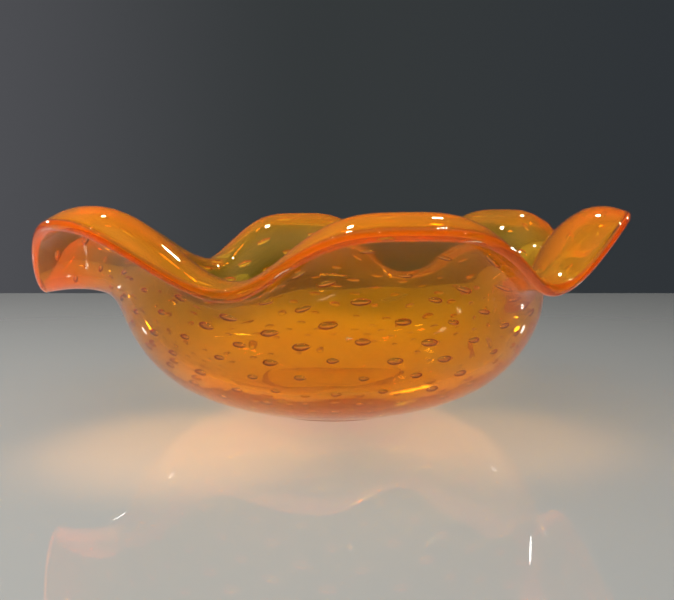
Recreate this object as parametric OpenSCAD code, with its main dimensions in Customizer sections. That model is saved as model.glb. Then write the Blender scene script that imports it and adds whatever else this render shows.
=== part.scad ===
// Ruffled art glass bowl with controlled air bubbles.
// Millimetres, +Z up. The origin is the middle of the ground foot, on the
// surface the bowl stands on. Azimuth is measured from -Y (the front)
// towards +X. Everything is one fused body of glass: an orange inner gather,
// a clear outer casing, and rings of air pockets trapped between the two.

/* [Overall] */
// distance from the axis to the lip at a full lobe
lip_reach = 113; // [90:0.5:140]
// height of the underside of the lip at a full lobe
lobe_height = 70; // [58:0.5:90]
// height of the underside of the lip at a full valley
valley_height = 47; // [38:0.5:58]
// distance from the axis to the lip at a full valley
valley_reach = 103; // [90:0.5:125]
// rise of the lobe crest above its lip, before the edge curls over
crest_rise = 6.5; // [0:0.5:12]
// distance from the lip back to the crest of a lobe
crest_back = 11; // [6:0.5:18]

/* [Body] */
// outer radius of the body just under the flare
body_radius = 80.5; // [70:0.5:92]
// height where the body stops widening and the flare begins
shoulder_height = 37; // [30:0.5:44]
// radius of the ground foot
foot_radius = 29; // [22:0.5:38]

/* [Glass] */
// thickness of the glass over the foot
base_thickness = 9.5; // [6:0.5:14]
// thickness of the wall half way up the body
wall_thickness = 6.4; // [4:0.1:9]
// thickness of the glass at the lip
lip_thickness = 4.2; // [3:0.1:6]
// share of the thickness taken by the clear casing in the body
casing_in_body = 0.5; // [0.3:0.05:0.7]
// share of the thickness taken by the clear casing in the flare
casing_in_flare = 0.32; // [0.25:0.01:0.7]
// how far along the outline the orange gather reaches (1 is the lip)
orange_end = 0.93; // [0.88:0.01:0.95]

/* [Air pockets] */
// air pockets in each ring
pockets_per_ring = 24; // [12:1:36]
// length of a pocket around the bowl, at the widest ring
pocket_length = 4.8; // [2:0.1:8]
// height of a pocket
pocket_height = 2.4; // [1:0.1:3.4]

/* [Hidden] */
steps_round = 84;
steps_outer = 28;
steps_inner = 22;
rings = 13;
first_ring = 0.26;
last_ring = 0.87;
// the colour starts to be drawn out at this share of the outline, over this much more
draw_start = 0.45;
draw_span = 0.35;
// the inside of the bottom is a little flatter than the foot's edge
floor_dip = 0.7;
floor_dish = 0.2;
floor_height = base_thickness - floor_dip;
middle_height = floor_height * casing_in_body;
// where the flat middle of the bottom ends
middle_radius = foot_radius * 0.55;

// The ruffle, valley and lobe in turn:
// [azimuth, reach factor, height factor, fullness of the lobe, curl of its crest]
ruffle = [
    [-82, 1.045, 0.980, 1, 0],
    [-48, 0.985, 1.010, 1.25, 1],
    [-18, 0.970, 1.080, 1, 0],
    [11, 1.000, 0.988, 1.7, 1],
    [43, 0.980, 1.075, 1, 0],
    [77, 0.955, 1.035, 1.45, 0.5],
    [108, 1.000, 1.170, 1, 0],
    [131, 1.000, 0.990, 1.9, 0.9],
    [159, 1.010, 1.000, 1, 0],
    [190, 1.000, 0.965, 1.8, 0.8],
    [218, 1.000, 1.020, 1, 0],
    [248, 0.985, 0.935, 1.25, 1]
];
first_azimuth = ruffle[0][0];
turns = len(ruffle);

function mix(a, b, t) = a + (b - a) * t;
function swell(u) = 0.5 - 0.5 * cos(180 * u);

// azimuth brought into the range that starts at the first valley
function wrap(a) = a - 360 * floor((a - first_azimuth) / 360);
function knot(i) = ruffle[i % turns][0] + 360 * floor(i / turns);
function sector(a) = max([for (i = [0 : turns - 1]) if (knot(i) <= a) i]);

// how much of a lobe there is at an azimuth: 0 in a valley, 1 on a lobe
function part_way(a, i) = swell((a - knot(i)) / (knot(i + 1) - knot(i)));
function rising(i) = i % 2 == 0;
function valley_of(i) = rising(i) ? ruffle[i] : ruffle[(i + 1) % turns];
function lobe_of(i) = rising(i) ? ruffle[(i + 1) % turns] : ruffle[i];
function lobe_share(a, i) =
    1 - pow(rising(i) ? 1 - part_way(a, i) : part_way(a, i), lobe_of(i)[3]);

// lip at an azimuth: [radius, height, lobe share, curl]
function lip(a, i) =
    [mix(valley_reach * valley_of(i)[1], lip_reach * lobe_of(i)[1], lobe_share(a, i)),
     mix(valley_height * valley_of(i)[2], lobe_height * lobe_of(i)[2], lobe_share(a, i)),
     lobe_share(a, i),
     lobe_of(i)[4]];

// control points of the outer face from the foot to the lip, [radius, height]
function valley_flare(r, z) = [
    [body_radius - 0.5, shoulder_height - 1],
    [body_radius + 2, shoulder_height + 6],
    [body_radius + 6.5, z + 0.5],
    [mix(body_radius + 9.5, r, 0.5), z + 1.5],
    [r, z]
];
function lobe_flare(r, z, curl) = [
    [body_radius, shoulder_height + 1],
    [body_radius + 0.5, shoulder_height + 13],
    [body_radius + 3, z - 9],
    [r - crest_back, z + crest_rise * curl],
    [r, z]
];
function blend(p, q, w) = [for (i = [0 : len(p) - 1]) mix(p[i], q[i], w)];
function outline(l) = concat(
    [
        [foot_radius, 0],
        [foot_radius + 5, 1.2],
        [foot_radius + 17, 4.5],
        [foot_radius + 29, 9.5],
        [foot_radius + 39, 17],
        [body_radius - 5, shoulder_height - 10]
    ],
    blend(valley_flare(l[0], l[1]), lobe_flare(l[0], l[1], l[3]), l[2])
);

// uniform cubic B-spline through a control polygon with held ends
function held(p) = concat([p[0], p[0]], p, [p[len(p) - 1], p[len(p) - 1]]);
function b0(t) = pow(1 - t, 3) / 6;
function b1(t) = (3 * pow(t, 3) - 6 * pow(t, 2) + 4) / 6;
function b2(t) = (-3 * pow(t, 3) + 3 * pow(t, 2) + 3 * t + 1) / 6;
function b3(t) = pow(t, 3) / 6;
function span(p, k, t) = b0(t) * p[k] + b1(t) * p[k + 1] + b2(t) * p[k + 2] + b3(t) * p[k + 3];
function curve(p, u) =
    let (n = len(p) - 3, k = min(floor(u * n), n - 1))
    span(p, k, u * n - k);

// unit direction into the glass, across the outer face
function unit(v) = v / norm(v);
function into(p, u) =
    let (d = unit(curve(p, min(u + 0.01, 1)) - curve(p, max(u - 0.01, 0))))
    [-d[1], d[0]];

// thickness of the glass along the outline
function thickness(u) =
    u < 0.5
    ? mix(base_thickness, wall_thickness, swell(u / 0.5))
    : mix(wall_thickness, lip_thickness, swell((u - 0.5) / 0.5));

// share of the thickness taken by the casing along the outline: the orange
// colour was drawn out towards the rim with the flare
function casing(u) =
    mix(casing_in_body, casing_in_flare, swell(min(max((u - draw_start) / draw_span, 0), 1)));

// a point at a share of the depth through the glass, and a run of such points
function face(p, u, share) = curve(p, u) + into(p, u) * thickness(u) * share;
function along(p, from, to, share, n) =
    [for (i = [0 : n]) face(p, mix(from, to, i / n), share)];

// a run of points on the face where casing and gather meet
function along_casing(p, from, to, n) =
    [for (i = [0 : n]) let (u = mix(from, to, i / n)) face(p, u, casing(u))];

// rounded edge that joins two depths and bulges towards the lip
function edge(p, u, from, to, bulge, n) =
    let (
        a = face(p, u, from),
        b = face(p, u, to),
        d = into(p, u),
        out = [d[1], -d[0]]
    )
    [for (i = [1 : n])
        mix(a, b, swell(i / (n + 1))) + out * bulge * sin(180 * i / (n + 1))];

// closed profile of each layer, starting and ending on the axis
gather_edge = thickness(orange_end) * (1 - casing_in_flare) * 0.4;
function casing_profile(p) = concat(
    [[0, 0]],
    [[middle_radius, 0]],
    along(p, 0, 1, 0, steps_outer),
    edge(p, 1, 0, 1, lip_thickness * 0.42, 4),
    along(p, 1, orange_end, 1, 1),
    edge(p, orange_end, 1, casing_in_flare, gather_edge, 2),
    along_casing(p, orange_end, 0, steps_inner),
    [[middle_radius, middle_height]],
    [[0, middle_height]]
);
function gather_profile(p) = concat(
    [[0, middle_height]],
    [[middle_radius, middle_height]],
    along_casing(p, 0, orange_end, steps_inner),
    edge(p, orange_end, casing_in_flare, 1, gather_edge, 2),
    along(p, orange_end, 0, 1, steps_inner),
    [[middle_radius, floor_height + floor_dish]],
    [[0, floor_height]]
);

// a profile point carried round to an azimuth
function place(q, a) = [q[0] * sin(a), -q[0] * cos(a), q[1]];
function outline_at(a) = let (w = wrap(a)) held(outline(lip(w, sector(w))));

// closed surface from one profile per azimuth, each from axis to axis
module layer(profiles) {
    n = len(profiles);
    m = len(profiles[0]);
    last = 1 + (m - 2) * n;
    function at(j, i) = 1 + (j - 1) * n + i % n;
    points = concat(
        [place(profiles[0][0], 0)],
        [for (j = [1 : m - 2]) for (i = [0 : n - 1]) place(profiles[i][j], 360 * i / n)],
        [place(profiles[0][m - 1], 0)]
    );
    faces = concat(
        [for (i = [0 : n - 1]) [0, at(1, i), at(1, i + 1)]],
        [for (j = [1 : m - 3]) for (i = [0 : n - 1]) [at(j, i), at(j + 1, i), at(j + 1, i + 1)]],
        [for (j = [1 : m - 3]) for (i = [0 : n - 1]) [at(j, i), at(j + 1, i + 1), at(j, i + 1)]],
        [for (i = [0 : n - 1]) [at(m - 2, i), last, at(m - 2, i + 1)]]
    );
    polyhedron(points = points, faces = faces, convexity = 12);
}

// one air pocket: a spindle-shaped hollow lying along the ring
module pocket(length, height) {
    sides = 6;
    half = [for (i = [0 : sides]) [height / 2 * sin(180 * i / sides), -length / 2 * cos(180 * i / sides)]];
    rotate([0, 90, 0])
        rotate_extrude($fn = 24)
            polygon(half);
}

// one ring of pockets on the face where casing and gather meet; every other
// ring is turned by half a space, the pockets are drawn out longer and flatter
// towards the rim, and no two are quite alike
module air_ring(k) {
    level = mix(first_ring, last_ring, (k - 1) / (rings - 1));
    stretch = 0.35 + 1.2 * level;
    squash = 1 - 0.3 * max(0, 2 * level - 1);
    for (i = [0 : pockets_per_ring - 1]) {
        u = level + 0.004 * sin(131 * i + 71 * k);
        a = 360 * (i + (k % 2) / 2) / pockets_per_ring + 1.2 * sin(211 * i + 29 * k);
        q = face(outline_at(a), u, casing(u));
        r = face(outline_at(a + 1), u, casing(u));
        climb = atan2(r[1] - q[1], norm(place(r, 1) - place(q, 0)));
        size = 1 + 0.2 * sin(97 * i + 53 * k);
        translate(place(q, a))
            rotate([0, -climb, a])
                pocket(pocket_length * stretch * size, pocket_height * squash * size * min(1, 0.6 + level));
    }
}

module clear_casing() {
    color([1.0, 0.82, 0.66, 0.45])
        layer([for (i = [0 : steps_round - 1]) casing_profile(outline_at(360 * i / steps_round))]);
}

module orange_gather() {
    color([0.95, 0.47, 0.05, 0.9])
        layer([for (i = [0 : steps_round - 1]) gather_profile(outline_at(360 * i / steps_round))]);
}

module air_ring_01() {
    color([1.0, 0.95, 0.8, 0.8])
        air_ring(1);
}

module air_ring_02() {
    color([1.0, 0.95, 0.8, 0.8])
        air_ring(2);
}

module air_ring_03() {
    color([1.0, 0.95, 0.8, 0.8])
        air_ring(3);
}

module air_ring_04() {
    color([1.0, 0.95, 0.8, 0.8])
        air_ring(4);
}

module air_ring_05() {
    color([1.0, 0.95, 0.8, 0.8])
        air_ring(5);
}

module air_ring_06() {
    color([1.0, 0.95, 0.8, 0.8])
        air_ring(6);
}

module air_ring_07() {
    color([1.0, 0.95, 0.8, 0.8])
        air_ring(7);
}

module air_ring_08() {
    color([1.0, 0.95, 0.8, 0.8])
        air_ring(8);
}

module air_ring_09() {
    color([1.0, 0.95, 0.8, 0.8])
        air_ring(9);
}

module air_ring_10() {
    color([1.0, 0.95, 0.8, 0.8])
        air_ring(10);
}

module air_ring_11() {
    color([1.0, 0.95, 0.8, 0.8])
        air_ring(11);
}

module air_ring_12() {
    color([1.0, 0.95, 0.8, 0.8])
        air_ring(12);
}

module air_ring_13() {
    color([1.0, 0.95, 0.8, 0.8])
        air_ring(13);
}

clear_casing();
orange_gather();
air_ring_01();
air_ring_02();
air_ring_03();
air_ring_04();
air_ring_05();
air_ring_06();
air_ring_07();
air_ring_08();
air_ring_09();
air_ring_10();
air_ring_11();
air_ring_12();
air_ring_13();
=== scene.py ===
import math

import bpy
import numpy as np
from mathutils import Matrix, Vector


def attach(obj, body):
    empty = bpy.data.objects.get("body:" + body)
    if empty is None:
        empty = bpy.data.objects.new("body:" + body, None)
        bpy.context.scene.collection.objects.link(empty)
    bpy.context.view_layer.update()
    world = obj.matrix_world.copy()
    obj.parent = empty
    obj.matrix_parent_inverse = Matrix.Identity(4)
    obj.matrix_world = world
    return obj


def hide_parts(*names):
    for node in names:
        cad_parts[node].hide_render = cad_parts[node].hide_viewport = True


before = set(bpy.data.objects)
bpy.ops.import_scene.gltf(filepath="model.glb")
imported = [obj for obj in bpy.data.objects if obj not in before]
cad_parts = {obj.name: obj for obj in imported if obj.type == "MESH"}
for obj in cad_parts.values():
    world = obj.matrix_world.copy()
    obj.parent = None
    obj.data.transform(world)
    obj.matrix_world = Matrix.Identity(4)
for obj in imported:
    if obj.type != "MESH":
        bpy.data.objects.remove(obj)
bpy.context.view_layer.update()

MM = 0.001

# ---------------------------------------------------------------- the bowl's form
# The same outline as the CAD model, in millimetres: a body turned about +Z and a
# flare whose ruffle is given as valley, lobe, valley ... round the bowl.
# (The lip is 0.1 mm nearer the axis, which keeps it inside the CAD model's facets.)
LIP_REACH, LOBE_HEIGHT = 112.9, 70.0
VALLEY_REACH, VALLEY_HEIGHT = 102.9, 47.0
CREST_RISE, CREST_BACK = 6.5, 11.0
BODY_RADIUS, SHOULDER = 80.5, 37.0
FOOT_RADIUS = 29.0
BASE_T, WALL_T, LIP_T = 9.5, 6.4, 4.2
CASING_IN_BODY, CASING_IN_FLARE = 0.5, 0.32
ORANGE_END = 0.93
FLOOR_DIP = 0.7  # the inside of the bottom is a little lower than its edge
FLOOR_HEIGHT = BASE_T - FLOOR_DIP
MIDDLE_HEIGHT = FLOOR_HEIGHT * CASING_IN_BODY
DRAW_START, DRAW_SPAN = 0.45, 0.35  # where the colour starts to be drawn out, and over how much
RINGS, FIRST_RING, LAST_RING = 13, 0.26, 0.87
POCKETS, POCKET_LENGTH, POCKET_HEIGHT = 24, 4.8, 2.4

# azimuth from the front (-Y) towards +X, reach, height, fullness, curl of the crest
RUFFLE = [
    (-82, 1.045, 0.980, 1.0, 0.0),
    (-48, 0.985, 1.010, 1.25, 1.0),
    (-18, 0.970, 1.080, 1.0, 0.0),
    (11, 1.000, 0.988, 1.7, 1.0),
    (43, 0.980, 1.075, 1.0, 0.0),
    (77, 0.955, 1.035, 1.45, 0.5),
    (108, 1.000, 1.170, 1.0, 0.0),
    (131, 1.000, 0.990, 1.9, 0.9),
    (159, 1.010, 1.000, 1.0, 0.0),
    (190, 1.000, 0.965, 1.8, 0.8),
    (218, 1.000, 1.020, 1.0, 0.0),
    (248, 0.985, 0.935, 1.25, 1.0),
]


def mix(a, b, t):
    return a + (b - a) * t


def swell(t):
    return 0.5 - 0.5 * math.cos(math.pi * t)


def lip_at(azimuth):
    """Radius, height, lobe share and curl of the lip at an azimuth in degrees."""
    count = len(RUFFLE)

    def knot(i):
        return RUFFLE[i % count][0] + 360 * (i // count)

    azimuth = (azimuth - RUFFLE[0][0]) % 360 + RUFFLE[0][0]
    i = max(k for k in range(count) if knot(k) <= azimuth)
    way = swell((azimuth - knot(i)) / (knot(i + 1) - knot(i)))
    here, after = RUFFLE[i], RUFFLE[(i + 1) % count]
    valley, lobe = (here, after) if i % 2 == 0 else (after, here)
    share = 1 - (1 - way if i % 2 == 0 else way) ** lobe[3]
    reach = mix(VALLEY_REACH * valley[1], LIP_REACH * lobe[1], share)
    height = mix(VALLEY_HEIGHT * valley[2], LOBE_HEIGHT * lobe[2], share)
    return reach, height, share, lobe[4]


def outline(azimuth):
    """Held control points of the outer face at an azimuth, as (radius, height)."""
    reach, height, share, curl = lip_at(azimuth)
    body = [
        (FOOT_RADIUS, 0),
        (FOOT_RADIUS + 5, 1.2),
        (FOOT_RADIUS + 17, 4.5),
        (FOOT_RADIUS + 29, 9.5),
        (FOOT_RADIUS + 39, 17),
        (BODY_RADIUS - 5, SHOULDER - 10),
    ]
    in_valley = [
        (BODY_RADIUS - 0.5, SHOULDER - 1),
        (BODY_RADIUS + 2, SHOULDER + 6),
        (BODY_RADIUS + 6.5, height + 0.5),
        (mix(BODY_RADIUS + 9.5, reach, 0.5), height + 1.5),
        (reach, height),
    ]
    on_lobe = [
        (BODY_RADIUS, SHOULDER + 1),
        (BODY_RADIUS + 0.5, SHOULDER + 13),
        (BODY_RADIUS + 3, height - 9),
        (reach - CREST_BACK, height + CREST_RISE * curl),
        (reach, height),
    ]
    flare = [(mix(v[0], o[0], share), mix(v[1], o[1], share)) for v, o in zip(in_valley, on_lobe)]
    points = body + flare
    return np.array([points[0]] * 2 + points + [points[-1]] * 2, float)


def curve(points, u):
    """Uniform cubic B-spline through the held control points; u is an array."""
    spans = len(points) - 3
    k = np.minimum(np.floor(u * spans).astype(int), spans - 1)
    t = (u * spans - k)[:, None]
    return (
        (1 - t) ** 3 * points[k]
        + (3 * t**3 - 6 * t**2 + 4) * points[k + 1]
        + (-3 * t**3 + 3 * t**2 + 3 * t + 1) * points[k + 2]
        + t**3 * points[k + 3]
    ) / 6


def into(points, u):
    """Unit directions across the outer face, into the glass."""
    step = curve(points, np.minimum(u + 0.01, 1)) - curve(points, np.maximum(u - 0.01, 0))
    step /= np.linalg.norm(step, axis=1)[:, None]
    return np.stack([-step[:, 1], step[:, 0]], 1)


def thickness(u):
    """Thickness of the glass along the outline: over the foot, in the wall, at the lip."""
    low = BASE_T + (WALL_T - BASE_T) * (0.5 - 0.5 * np.cos(np.pi * np.minimum(u, 0.5) * 2))
    high = WALL_T + (LIP_T - WALL_T) * (0.5 - 0.5 * np.cos(np.pi * (np.maximum(u, 0.5) * 2 - 1)))
    return np.where(u < 0.5, low, high)


def casing_share(u):
    """Share of the thickness taken by the clear casing: less of it in the flare."""
    way = np.clip((np.asarray(u, float) - DRAW_START) / DRAW_SPAN, 0, 1)
    return CASING_IN_BODY + (CASING_IN_FLARE - CASING_IN_BODY) * (0.5 - 0.5 * np.cos(np.pi * way))


def face(points, u, share):
    """Points at a share of the depth through the glass."""
    u = np.atleast_1d(np.asarray(u, float))
    return curve(points, u) + into(points, u) * (thickness(u) * np.asarray(share))[:, None]


def edge(points, u, start, stop, bulge, count):
    """Rounded edge between two depths at u, bulging on past the glass's end."""
    a, b = face(points, u, start)[0], face(points, u, stop)[0]
    d = into(points, np.array([float(u)]))[0]
    out = np.array([d[1], -d[0]])
    steps = [i / (count + 1) for i in range(1, count + 1)]
    return np.array([mix(a, b, swell(s)) + out * bulge * math.sin(math.pi * s) for s in steps])


def floor_run(rim, height, count):
    """From the axis out to a face's start, flat at the axis and easing up to it."""
    r = np.linspace(0, 1, count + 1)[:-1]
    return np.stack([rim[0] * r, height + (rim[1] - height) * r**2], 1)


def eased(profile, first, last, rounds):
    """Relaxes the interior points first..last of a profile, to lose a crease."""
    p = profile.copy()
    for _ in range(rounds):
        p[first:last] = (p[first - 1:last - 1] + 2 * p[first:last] + p[first + 1:last + 1]) / 4
    return p


def turned(azimuths, profiles):
    """Vertices of profiles (each axis to axis) carried round to their azimuths."""
    a = np.radians(azimuths)[:, None]
    r, z = profiles[:, :, 0], profiles[:, :, 1]
    return np.stack([r * np.sin(a), -r * np.cos(a), z], 2)


def ring_faces(around, rings):
    """Faces over vertices listed as a start point, rings of points, and an end point."""

    def at(j, i):
        return 1 + (j - 1) * around + i % around

    end = 1 + rings * around
    faces = [(0, at(1, i + 1), at(1, i)) for i in range(around)]
    for j in range(1, rings):
        for i in range(around):
            faces.append((at(j, i), at(j, i + 1), at(j + 1, i + 1), at(j + 1, i)))
    faces += [(at(rings, i), at(rings, i + 1), end) for i in range(around)]
    return faces


def closed_mesh(name, grid):
    """A closed surface from grid[azimuth, point]; first and last points lie on the axis."""
    n, m = grid.shape[:2]
    between = grid[:, 1:m - 1].transpose(1, 0, 2).reshape(-1, 3)
    verts = [grid[:, 0].mean(0)] + list(between) + [grid[:, m - 1].mean(0)]
    return new_object(name, np.array(verts) * MM, ring_faces(n, m - 2))


def new_object(name, verts, faces):
    mesh = bpy.data.meshes.new(name)
    mesh.from_pydata([tuple(v) for v in verts], [], faces)
    mesh.validate()
    mesh.polygons.foreach_set("use_smooth", [True] * len(mesh.polygons))
    mesh.update()
    piece = bpy.data.objects.new(name, mesh)
    bpy.context.scene.collection.objects.link(piece)
    return piece


ROUND = 288
AZIMUTHS = np.arange(ROUND) * 360.0 / ROUND
OUTLINES = [outline(a) for a in AZIMUTHS]
OUTER_U = np.linspace(0.0, 1.0, 111)
LIP_INSET = 0.985  # keeps the smooth lip inside the faceted one of the CAD model
LIP_BULGE = 0.42  # of the lip's thickness
THINNING = 0.26  # mean of the unevenness, so that the glass is only ever thinner
# size in millimetres, waves round the bowl, radians along the outline, phase
WAVES = (
    (0.10, 3, 9, 0.6),
    (0.07, 7, -15, 2.1),
    (0.05, 11, 31, 0.0),
    (0.04, 2, 52, 1.3),
)
FACE_INSET = 0.02  # share of the thickness by which the outer face keeps inside the CAD model's
GATHER_SKIN = 0.012  # share of the thickness left within the orange, so the faces never coincide
GATHER_BULGE = 0.4  # of the orange's thickness where it ends
GATHER_FLOOR_GAP = 0.08  # the same at the bottom, in millimetres


def waviness(azimuth, u):
    """Slow hand-made unevenness of the inner face, in millimetres."""
    a = math.radians(azimuth)
    fade = np.clip(u * 6, 0, 1) * np.clip((1 - u) * 8, 0, 1)
    total = THINNING
    for size, turns, climb, phase in WAVES:
        total = total + size * np.sin(turns * a + climb * u + phase)
    return fade * total


def whole_glass_profile(azimuth, points):
    """Foot, outer face, rounded lip and inner face of the glass as one closed run."""
    foot_edge = face(points, 0, 0)[0]
    foot = np.stack([np.linspace(0, 1, 9)[:-1] * foot_edge[0], np.zeros(8)], 1)
    outer = face(points, OUTER_U, FACE_INSET * np.clip(OUTER_U * 12, 0, 1))
    lip = edge(points, 1, 0, 1, LIP_T * LIP_BULGE * LIP_INSET, 11)
    u = OUTER_U[::-1]
    inner = face(points, u, 1) - into(points, u) * waviness(azimuth, u)[:, None]
    floor = floor_run(inner[-1], FLOOR_HEIGHT, 10)[::-1]
    profile = np.concatenate([foot, outer, lip, inner, floor])
    end = len(foot) + len(outer) + len(lip) + len(inner)
    return eased(profile, end - 9, end + 7, 30)


def gather_profile(azimuth, points):
    """The orange layer: its face against the casing, its end, and its inner face."""
    u = np.linspace(0, ORANGE_END, 81)
    outer = face(points, u, casing_share(u))
    depth = thickness(np.array([ORANGE_END]))[0] * (1 - CASING_IN_FLARE) * GATHER_BULGE
    end = edge(points, ORANGE_END, CASING_IN_FLARE, 1 - GATHER_SKIN, depth, 7)
    u = u[::-1]
    inner = face(points, u, 1 - GATHER_SKIN) - into(points, u) * waviness(azimuth, u)[:, None]
    floor = floor_run(inner[-1], FLOOR_HEIGHT - GATHER_FLOOR_GAP, 10)[::-1]
    bottom = floor_run(outer[0], MIDDLE_HEIGHT, 10)
    profile = np.concatenate([bottom, outer, end, inner, floor])
    stop = len(bottom) + len(outer) + len(end) + len(inner)
    return eased(profile, stop - 9, stop + 7, 30)


def layer(name, profile):
    """A layer of glass from its profile at each azimuth."""
    profiles = np.array([profile(a, p) for a, p in zip(AZIMUTHS, OUTLINES)])
    return closed_mesh(name, turned(AZIMUTHS, profiles))


casing = layer("clear_casing_glass", whole_glass_profile)
gather = layer("orange_gather_glass", gather_profile)
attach(casing, "root")
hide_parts("clear_casing")
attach(gather, "root")
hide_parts("orange_gather")


# ---------------------------------------------------------------- trapped air
FLATNESS = 0.86  # depth of a pocket through the wall, against its height


def sin_deg(d):
    return math.sin(math.radians(d))


def place(q, azimuth):
    """A profile point (radius, height) carried round to an azimuth in degrees."""
    a = math.radians(azimuth)
    return Vector((q[0] * math.sin(a), -q[0] * math.cos(a), q[1]))


def pocket_shape(length, height, tail):
    """A spindle of air along +X, blunter at one end, flattened across the wall."""
    around, along = 14, 12
    rows = [[(-length / 2, 0, 0)]]
    for j in range(1, along):
        t = math.pi * j / along
        x = -length / 2 * math.cos(t)
        r = height / 2 * math.sin(t) ** (1 + 0.35 * tail) * (1 + 0.22 * tail * math.cos(t))
        turns = [2 * math.pi * i / around for i in range(around)]
        rows.append([(x, FLATNESS * r * math.cos(turn), r * math.sin(turn)) for turn in turns])
    rows.append([(length / 2, 0, 0)])
    verts = [v for row in rows for v in row]
    return np.array(verts), ring_faces(around, along - 1)


def air_ring(k):
    """One ring of pockets, drawn out longer and flatter towards the rim, no two quite alike."""
    level = mix(FIRST_RING, LAST_RING, (k - 1) / (RINGS - 1))
    stretch = 0.35 + 1.2 * level
    squash = 1 - 0.3 * max(0, 2 * level - 1)
    all_verts, all_faces = [], []
    for i in range(POCKETS):
        u = level + 0.004 * sin_deg(131 * i + 71 * k)
        azimuth = 360 * (i + (k % 2) / 2) / POCKETS + 1.2 * sin_deg(211 * i + 29 * k)
        here = face(outline(azimuth), u, casing_share(u))[0]
        near = face(outline(azimuth + 1), u, casing_share(u))[0]
        size = 1 + 0.2 * sin_deg(97 * i + 53 * k)
        length = POCKET_LENGTH * stretch * size
        height = POCKET_HEIGHT * squash * size * min(1, 0.6 + level)
        along = (place(near, azimuth + 1) - place(here, azimuth)).normalized()
        through = place(into(outline(azimuth), np.array([u]))[0], azimuth)
        up = along.cross(through).normalized()
        through = up.cross(along)
        tail = 0.8 * sin_deg(61 * i + 17 * k)
        verts, faces = pocket_shape(length, height, tail)
        centre = place(here, azimuth)
        base = len(all_verts)
        for v in verts:
            all_verts.append(centre + along * v[0] + through * v[1] + up * v[2])
        all_faces += [tuple(base + c for c in f) for f in faces]
    return new_object("air_ring_%02d_bubbles" % k, np.array(all_verts) * MM, all_faces)


bubbles = []
for ring in range(1, RINGS + 1):
    piece = air_ring(ring)
    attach(piece, "root")
    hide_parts("air_ring_%02d" % ring)
    bubbles.append(piece)


# ---------------------------------------------------------------- materials
class Nodes:
    """A small helper that adds and links nodes of one material."""

    def __init__(self, name):
        self.material = bpy.data.materials.new(name)
        self.material.use_nodes = True
        self.tree = self.material.node_tree
        self.tree.nodes.clear()
        self.out = self.add("ShaderNodeOutputMaterial")

    def add(self, kind, **values):
        node = self.tree.nodes.new(kind)
        for key, value in values.items():
            setattr(node, key, value)
        return node

    def link(self, a, b):
        self.tree.links.new(a, b)


def object_noise(n, scale, detail=2.0, rough=0.5):
    where = n.add("ShaderNodeTexCoord")
    noise = n.add("ShaderNodeTexNoise")
    noise.inputs["Scale"].default_value = scale
    noise.inputs["Detail"].default_value = detail
    noise.inputs["Roughness"].default_value = rough
    n.link(where.outputs["Object"], noise.inputs["Vector"])
    return noise.outputs["Fac"]


def ranged(n, value, low, high, start=0.3, stop=0.7):
    node = n.add("ShaderNodeMapRange")
    node.inputs["From Min"].default_value = start
    node.inputs["From Max"].default_value = stop
    node.inputs["To Min"].default_value = low
    node.inputs["To Max"].default_value = high
    n.link(value, node.inputs["Value"])
    return node.outputs["Result"]


def split_position(n):
    """The object's own coordinates, split into X, Y and Z."""
    where = n.add("ShaderNodeTexCoord")
    split = n.add("ShaderNodeSeparateXYZ")
    n.link(where.outputs["Object"], split.inputs["Vector"])
    return split


def radius_of(n, split):
    """Distance from the bowl's axis, from a split of the object's coordinates."""
    flat = n.add("ShaderNodeCombineXYZ")
    n.link(split.outputs["X"], flat.inputs["X"])
    n.link(split.outputs["Y"], flat.inputs["Y"])
    radius = n.add("ShaderNodeVectorMath", operation="LENGTH")
    n.link(flat.outputs[0], radius.inputs[0])
    return radius.outputs["Value"]


GLASS_IOR = 1.5
TURNED_RINGS = 2600.0  # radians of ring pattern per metre out from the axis


def add_absorption(n, colour, density):
    """Colours the light by the way it goes through the glass."""
    tint = n.add("ShaderNodeVolumeAbsorption")
    tint.inputs["Color"].default_value = colour
    tint.inputs["Density"].default_value = density
    n.link(tint.outputs[0], n.out.inputs["Volume"])


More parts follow.
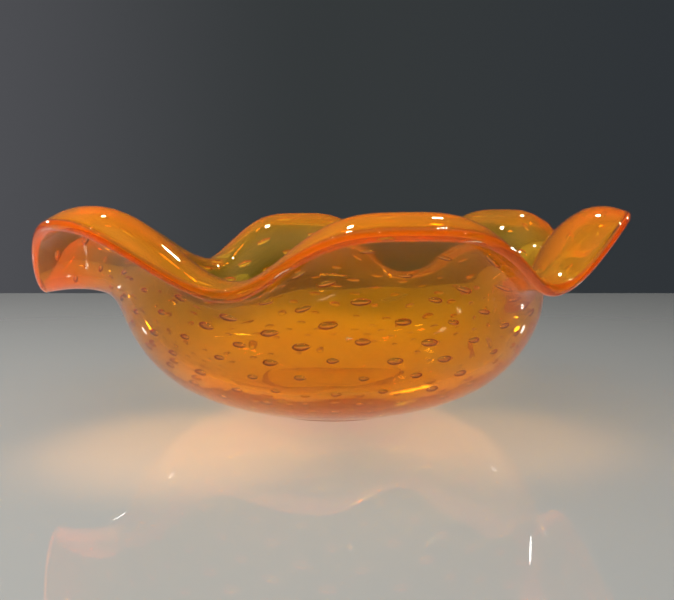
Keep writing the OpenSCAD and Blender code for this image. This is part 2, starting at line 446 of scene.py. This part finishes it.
def clear_glass():
    """The whole outer boundary of the glass: polished, but satin under the foot."""
    n = Nodes("fire_polished_clear_glass")
    glass = n.add("ShaderNodeBsdfPrincipled")
    glass.inputs["Base Color"].default_value = (1, 1, 1, 1)
    glass.inputs["IOR"].default_value = GLASS_IOR
    glass.inputs["Specular Tint"].default_value = (1.0, 0.76, 0.42, 1)
    glass.inputs["Transmission Weight"].default_value = 1.0
    # handled glass: faint smears, and a satin ground face under the foot
    smears = ranged(n, object_noise(n, 38, 4), 0.0, 0.006, 0.45, 0.75)
    split = split_position(n)
    ground = ranged(n, split.outputs["Z"], 0.16, 0.0, 0.00005, 0.0004)
    total = n.add("ShaderNodeMath", operation="MAXIMUM")
    n.link(smears, total.inputs[0])
    n.link(ground, total.inputs[1])
    n.link(total.outputs[0], glass.inputs["Roughness"])
    bump = n.add("ShaderNodeBump")
    bump.inputs["Strength"].default_value = 0.15
    bump.inputs["Distance"].default_value = 0.0006
    # the block left fine turned rings just above the foot
    turns = n.add("ShaderNodeMath", operation="MULTIPLY")
    turns.inputs[1].default_value = TURNED_RINGS
    n.link(radius_of(n, split), turns.inputs[0])
    ring = n.add("ShaderNodeMath", operation="SINE")
    n.link(turns.outputs[0], ring.inputs[0])
    rings = n.add("ShaderNodeMath", operation="MULTIPLY")
    n.link(ring.outputs[0], rings.inputs[0])
    n.link(ranged(n, split.outputs["Z"], 0.13, 0.0, 0.003, 0.012), rings.inputs[1])
    height = n.add("ShaderNodeMath", operation="ADD")
    n.link(object_noise(n, 60, 1.5, 0.4), height.inputs[0])
    n.link(rings.outputs[0], height.inputs[1])
    n.link(height.outputs[0], bump.inputs["Height"])
    n.link(bump.outputs["Normal"], glass.inputs["Normal"])
    n.link(glass.outputs[0], n.out.inputs["Surface"])
    add_absorption(n, (1.0, 0.86, 0.58, 1), 60.0)
    return n.material


def orange_glass():
    """Transparent orange, deeper and with more of a matt veil towards the rim.

    It lies inside the casing's boundary, so it doesn't bend the light again.
    """
    n = Nodes("orange_cased_glass")
    glass = n.add("ShaderNodeBsdfPrincipled")
    glass.inputs["IOR"].default_value = 1.0
    glass.inputs["Roughness"].default_value = 0.0
    split = split_position(n)
    streaks = ranged(n, object_noise(n, 22, 3), -0.004, 0.004)
    reach = n.add("ShaderNodeMath", operation="ADD")
    n.link(radius_of(n, split), reach.inputs[0])
    n.link(streaks, reach.inputs[1])
    n.link(ranged(n, reach.outputs[0], 0.945, 0.80, 0.084, 0.110), glass.inputs["Transmission Weight"])
    colour = n.add("ShaderNodeValToRGB")
    colour.color_ramp.elements[0].color = (1.0, 0.74, 0.05, 1)
    colour.color_ramp.elements[1].color = (1.0, 0.475, 0.015, 1)
    n.link(ranged(n, reach.outputs[0], 0, 1, 0.080, 0.104), colour.inputs["Fac"])
    n.link(colour.outputs["Color"], glass.inputs["Base Color"])
    n.link(glass.outputs[0], n.out.inputs["Surface"])
    add_absorption(n, (0.995, 0.95, 0.78, 1), 1000.0)
    return n.material


def air():
    """Air seen from inside the glass."""
    n = Nodes("trapped_air_pocket")
    glass = n.add("ShaderNodeBsdfGlass")
    glass.inputs["Color"].default_value = (1, 1, 1, 1)
    glass.inputs["IOR"].default_value = 1 / GLASS_IOR
    n.link(ranged(n, object_noise(n, 400, 2), 0.0, 0.01), glass.inputs["Roughness"])
    n.link(glass.outputs[0], n.out.inputs["Surface"])
    return n.material


casing.data.materials.append(clear_glass())
gather.data.materials.append(orange_glass())
pocket_air = air()
for piece in bubbles:
    piece.data.materials.append(pocket_air)


# ---------------------------------------------------------------- stage
def table_top():
    n = Nodes("pale_grey_table")
    top = n.add("ShaderNodeBsdfPrincipled")
    colour = n.add("ShaderNodeValToRGB")
    colour.color_ramp.elements[0].color = (0.375, 0.378, 0.36, 1)
    colour.color_ramp.elements[1].color = (0.42, 0.423, 0.405, 1)
    n.link(object_noise(n, 3.0, 3), colour.inputs["Fac"])
    n.link(colour.outputs["Color"], top.inputs["Base Color"])
    top.inputs["IOR"].default_value = 2.4
    n.link(ranged(n, object_noise(n, 9.0, 4), 0.002, 0.007), top.inputs["Roughness"])
    n.link(top.outputs[0], n.out.inputs["Surface"])
    return n.material


TABLE_SIDE, TABLE_BACK = 1.3, 0.45
TABLE_DROP = 0.00002  # keeps the table just clear of the foot
table = new_object(
    "table",
    [
        (-TABLE_SIDE, -TABLE_SIDE, 0),
        (TABLE_SIDE, -TABLE_SIDE, 0),
        (TABLE_SIDE, TABLE_BACK, 0),
        (-TABLE_SIDE, TABLE_BACK, 0),
    ],
    [(0, 1, 2, 3)],
)
table.location.z = -TABLE_DROP
table.data.materials.append(table_top())

world = bpy.data.worlds.new("studio")
bpy.context.scene.world = world
world.use_nodes = True
sky = world.node_tree
sky.nodes.clear()


def sky_node(kind, **values):
    node = sky.nodes.new(kind)
    for key, value in values.items():
        setattr(node, key, value)
    return node


def sky_ramp(value, stops):
    """A colour ramp over a direction's component, from (position, colour) stops."""
    ramp = sky_node("ShaderNodeValToRGB")
    ramp.color_ramp.interpolation = "EASE"
    while len(ramp.color_ramp.elements) < len(stops):
        ramp.color_ramp.elements.new(0.5)
    for element, (position, colour) in zip(ramp.color_ramp.elements, stops):
        element.position = position
        element.color = (*colour, 1)
    sky.links.new(value, ramp.inputs["Fac"])
    return ramp.outputs["Color"]


def half(value):
    """A direction component from -1..1 brought to 0..1."""
    node = sky_node("ShaderNodeMapRange")
    node.inputs["From Min"].default_value = -1
    sky.links.new(value, node.inputs["Value"])
    return node.outputs["Result"]


direction = sky_node("ShaderNodeSeparateXYZ")
sky.links.new(sky_node("ShaderNodeTexCoord").outputs["Generated"], direction.inputs["Vector"])
# a dark grey backdrop, a little lighter to the left
backdrop = sky_ramp(
    half(direction.outputs["X"]),
    [(0.26, (0.085, 0.086, 0.096)), (0.5, (0.036, 0.041, 0.043)), (0.74, (0.028, 0.033, 0.039))],
)
# a faint room in front of the table
room = sky_ramp(half(direction.outputs["Y"]), [(0.35, (0.05, 0.048, 0.046)), (0.80, (0, 0, 0))])
# a pale dome overhead, dimmed towards the back
dome = sky_ramp(
    direction.outputs["Z"],
    [(0.45, (0, 0, 0)), (0.75, (0.50, 0.50, 0.50)), (1.0, (0.66, 0.66, 0.66))],
)
forward = sky_ramp(half(direction.outputs["Y"]), [(0.44, (1, 1, 1)), (0.72, (0.14, 0.14, 0.14))])


def blended(a, b, blend):
    """Two colours added or multiplied."""
    node = sky_node("ShaderNodeMix", data_type="RGBA", blend_type=blend)
    node.inputs["Factor"].default_value = 1.0
    sky.links.new(a, node.inputs["A"])
    sky.links.new(b, node.inputs["B"])
    return node.outputs["Result"]


background = sky_node("ShaderNodeBackground")
overhead = blended(dome, forward, "MULTIPLY")
all_round = blended(blended(backdrop, room, "ADD"), overhead, "ADD")
sky.links.new(all_round, background.inputs["Color"])
sky.links.new(background.outputs[0], sky_node("ShaderNodeOutputWorld").inputs["Surface"])


def lamp(name, location, target, size, watts, colour=(1, 1, 1), shape="SQUARE", size_y=None):
    """An area lamp that faces its target."""
    data = bpy.data.lights.new(name, "AREA")
    data.shape = shape
    data.size = size
    if size_y:
        data.size_y = size_y
    data.energy = watts
    data.color = colour
    ob = bpy.data.objects.new(name, data)
    bpy.context.scene.collection.objects.link(ob)
    ob.location = location
    ob.rotation_euler = (Vector(target) - Vector(location)).to_track_quat("-Z", "Y").to_euler()
    return ob


# the main light casts no shadow: glass would cast a solid one
key = lamp(
    "key_softbox", (-0.30, -0.08, 0.80), (0.0, 0.0, 0.02), 0.50, 8.8, (1.0, 0.98, 0.95), "RECTANGLE", 0.36
)
key.visible_glossy = False
key.visible_transmission = False
key.data.use_shadow = False
# the warm light that the bowl gathers and throws on the table round its foot
lit_by_glow = bpy.data.collections.new("lit_by_glow")
lit_by_glow.objects.link(table)
GLOW_HEIGHT = 0.3
# name, x, y, radius of the pool, its width against its depth, watts, colour
for label, x, y, radius, narrow, watts, colour in (
    ("behind", 0.0, 0.125, 0.17, 0.62, 3.4, (1.0, 0.60, 0.20)),
    ("left", -0.050, -0.064, 0.066, 0.90, 3.6, (1.0, 0.44, 0.10)),
    ("right", 0.056, -0.056, 0.060, 0.90, 2.0, (1.0, 0.44, 0.10)),
):
    data = bpy.data.lights.new("glow_" + label, "SPOT")
    data.energy = watts
    data.color = colour
    data.shadow_soft_size = 0.01
    data.spot_size = 2 * math.atan(radius / GLOW_HEIGHT)
    data.spot_blend = 1.0
    data.use_shadow = False
    glow = bpy.data.objects.new("glow_" + label, data)
    bpy.context.scene.collection.objects.link(glow)
    glow.location = (x, y, GLOW_HEIGHT)
    glow.scale.x = narrow
    glow.visible_camera = glow.visible_glossy = glow.visible_transmission = False
    glow.light_linking.receiver_collection = lit_by_glow
# small lamps that only show as glints in and on the glass, by direction from it
SPARK_DISTANCE, SPARK_SIZE, SPARK_WATTS = 1.2, 0.07, 2.5
for number, way in enumerate((
    (-0.77, 0.57, 0.31), (0.71, 0.63, 0.30), (0.15, -0.84, 0.52), (0.75, -0.50, 0.42),
    (-0.46, 0.27, 0.85), (0.25, 0.60, 0.75), (-0.22, 0.44, 0.87),
)):
    spark = lamp(
        "spark_%d" % number,
        Vector(way) * SPARK_DISTANCE,
        (0, 0, 0.05),
        SPARK_SIZE,
        SPARK_WATTS,
        shape="DISK",
    )
    spark.visible_camera = spark.visible_diffuse = False

# ---------------------------------------------------------------- camera
LENS, SENSOR = 48.445, 36.0  # millimetres
TILT_DOWN = 6.0419  # degrees
camera_data = bpy.data.cameras.new("camera")
camera = bpy.data.objects.new("camera", camera_data)
bpy.context.scene.collection.objects.link(camera)
camera.location = (0.0015, -0.354, 0.079)
camera_data.sensor_width = SENSOR
camera_data.lens = LENS
camera_data.clip_start = 0.01
camera.rotation_euler = (math.radians(90 - TILT_DOWN), 0, 0)
bpy.context.scene.camera = camera

scene = bpy.context.scene
scene.view_settings.view_transform = "Standard"
scene.cycles.max_bounces = 24
scene.cycles.transmission_bounces = 24
scene.cycles.glossy_bounces = 6
scene.cycles.diffuse_bounces = 3
